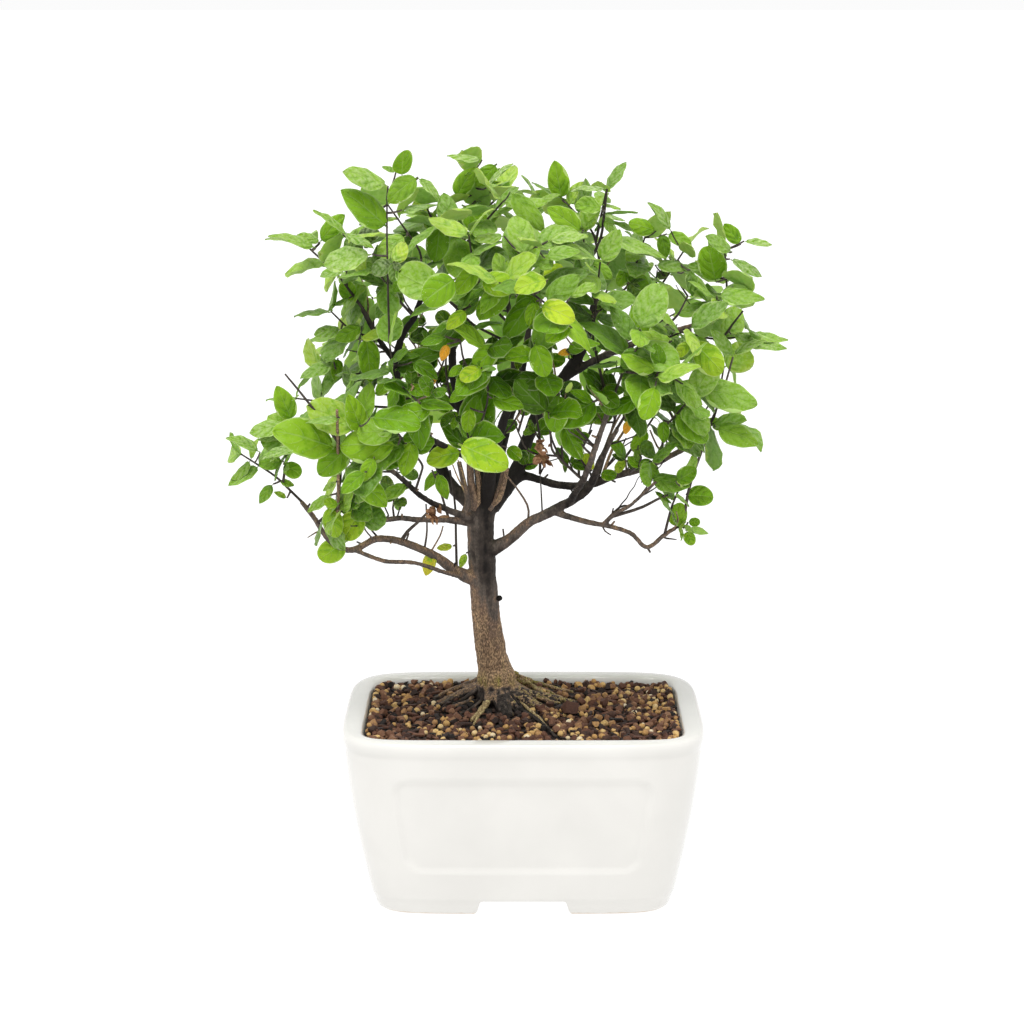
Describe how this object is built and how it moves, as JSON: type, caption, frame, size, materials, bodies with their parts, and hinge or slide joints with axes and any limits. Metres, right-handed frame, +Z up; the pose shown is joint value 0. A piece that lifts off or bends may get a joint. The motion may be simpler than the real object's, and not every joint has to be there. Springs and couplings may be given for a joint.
{
  "type": "serissa bonsai",
  "caption": "Bonsai tree with an upright trunk, spreading limbs and a broad crown of small oval leaves, growing in granular soil in a white glazed rectangular pot.",
  "frame": {"origin": "middle of the tree and pot's bounding box, on the surface that the pot's feet stand on", "axes": "+Z up, +X along the pot's length to the right as seen from its front, +Y from the front to the back"},
  "size_m": [0.232, 0.1912, 0.3111],
  "materials": {
    "glaze": "glossy white glaze",
    "netting": "matte black",
    "soil": "dark moist soil with tan grains of baked clay",
    "bark": "grey-brown mottled bark",
    "leaf": "fresh green, slightly glossy"
  },
  "bodies": {
    "root": {"pot": "glaze", "drain_mesh_left": "netting", "drain_mesh_right": "netting", "soil": "soil", "tree": "bark", "shoot_01": "leaf", "shoot_02": "leaf", "shoot_03": "leaf", "shoot_04": "leaf", "shoot_05": "leaf", "shoot_06": "leaf", "shoot_07": "leaf", "shoot_08": "leaf", "shoot_09": "leaf", "shoot_10": "leaf", "shoot_11": "leaf", "shoot_12": "leaf", "shoot_13": "leaf", "shoot_14": "leaf", "shoot_15": "leaf", "shoot_16": "leaf", "shoot_17": "leaf", "shoot_18": "leaf", "shoot_19": "leaf", "shoot_20": "leaf", "shoot_21": "leaf", "shoot_22": "leaf", "shoot_23": "leaf", "shoot_24": "leaf", "shoot_25": "leaf", "shoot_26": "leaf", "shoot_27": "leaf", "shoot_28": "leaf", "shoot_29": "leaf", "shoot_30": "leaf", "shoot_31": "leaf", "shoot_32": "leaf", "shoot_33": "leaf", "shoot_34": "leaf", "shoot_35": "leaf", "shoot_36": "leaf", "shoot_37": "leaf", "shoot_38": "leaf", "shoot_39": "leaf", "shoot_40": "leaf", "shoot_41": "leaf", "shoot_42": "leaf", "shoot_43": "leaf", "shoot_44": "leaf", "shoot_45": "leaf", "shoot_46": "leaf", "shoot_47": "leaf", "shoot_48": "leaf", "shoot_49": "leaf", "shoot_50": "leaf", "shoot_51": "leaf", "shoot_52": "leaf", "shoot_53": "leaf", "shoot_54": "leaf", "shoot_55": "leaf"}
  },
  "joints": []
}
